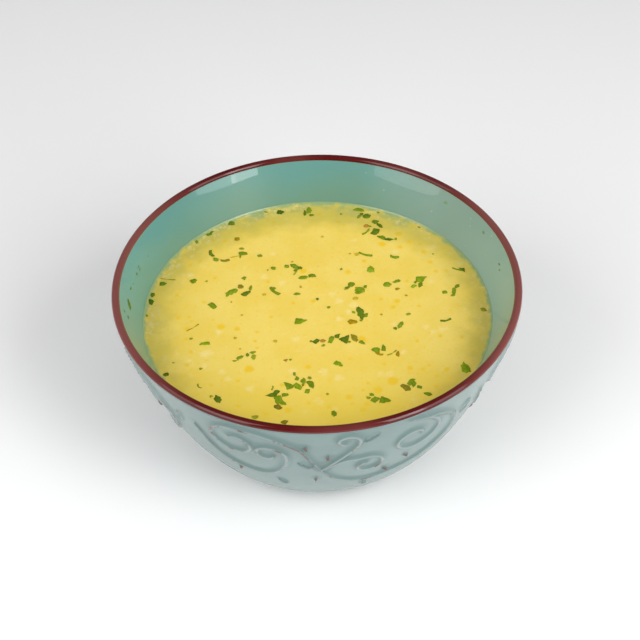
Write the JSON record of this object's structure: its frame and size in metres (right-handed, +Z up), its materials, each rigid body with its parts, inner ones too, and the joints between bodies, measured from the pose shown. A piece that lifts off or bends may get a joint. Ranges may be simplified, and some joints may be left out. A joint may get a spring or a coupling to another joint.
{
  "type": "bowl of vegetable soup",
  "caption": "Round glazed bowl with raised scrollwork, a dark rounded lip and a ring foot, filled with thick yellow vegetable soup strewn with chopped parsley.",
  "frame": {"origin": "centre of the foot ring, on the surface the bowl stands on", "axes": "+Z up, out of the bowl's mouth; -Y towards the side that shows most; +X to the right seen from -Y"},
  "size_m": [0.155, 0.155, 0.073],
  "materials": {
    "glaze": "glossy pale blue-green glaze, darker where it pools, dark red on the lip",
    "soup": "thick yellow vegetable soup, wet surface",
    "parsley": "chopped parsley and bits of vegetable, moist"
  },
  "bodies": {
    "root": {"bowl": "glaze", "soup": "soup"}
  },
  "joints": []
}
